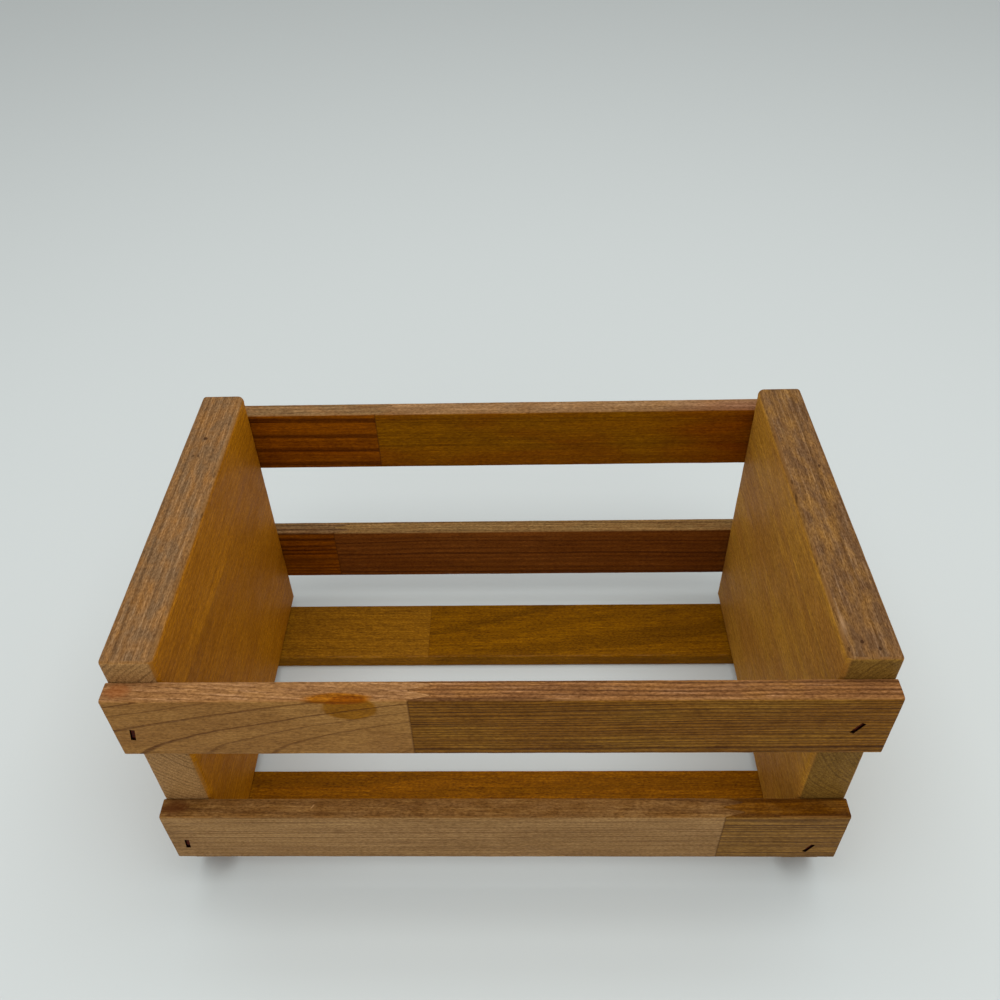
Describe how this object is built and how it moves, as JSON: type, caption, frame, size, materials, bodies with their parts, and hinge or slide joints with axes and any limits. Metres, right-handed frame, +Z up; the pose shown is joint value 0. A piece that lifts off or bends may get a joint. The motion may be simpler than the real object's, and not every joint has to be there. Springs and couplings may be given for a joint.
{
  "type": "wooden storage crate",
  "caption": "Small open-topped crate: two solid end boards joined by spaced slats stapled to their front, back and bottom edges.",
  "frame": {"origin": "on the surface the crate stands on, under the middle of its floor", "axes": "+X along the crate's length, towards the right end board; +Y from the front slats to the rear slats; +Z up"},
  "size_m": [0.252, 0.15, 0.1405],
  "materials": {
    "end_board_wood": "thin clear varnish over straw-orange softwood, dull and grey-brown on the upper edges",
    "pale_slat_wood": "thin clear varnish over tan softwood with fine dark growth lines",
    "dark_slat_wood": "thin clear varnish over olive-brown close-grained softwood",
    "red_slat_wood": "thin clear varnish over red-brown softwood with strong dark stripes",
    "floor_slat_wood": "thin clear varnish over yellow-brown softwood with long streaks",
    "staple_steel": "galvanised wire gone dull and brown with age"
  },
  "bodies": {
    "root": {"left_end_board": "end_board_wood", "right_end_board": "end_board_wood", "front_top_slat_left": "pale_slat_wood", "front_top_slat_right": "dark_slat_wood", "front_bottom_slat_left": "pale_slat_wood", "front_bottom_slat_right": "dark_slat_wood", "rear_top_slat_left": "red_slat_wood", "rear_top_slat_right": "dark_slat_wood", "rear_bottom_slat_left": "red_slat_wood", "rear_bottom_slat_right": "dark_slat_wood", "front_floor_slat": "floor_slat_wood", "rear_floor_slat_left": "pale_slat_wood", "rear_floor_slat_right": "floor_slat_wood", "front_top_staples": "staple_steel", "front_bottom_staples": "staple_steel", "rear_top_staples": "staple_steel", "rear_bottom_staples": "staple_steel", "front_floor_staples": "staple_steel", "rear_floor_staples": "staple_steel"}
  },
  "joints": []
}
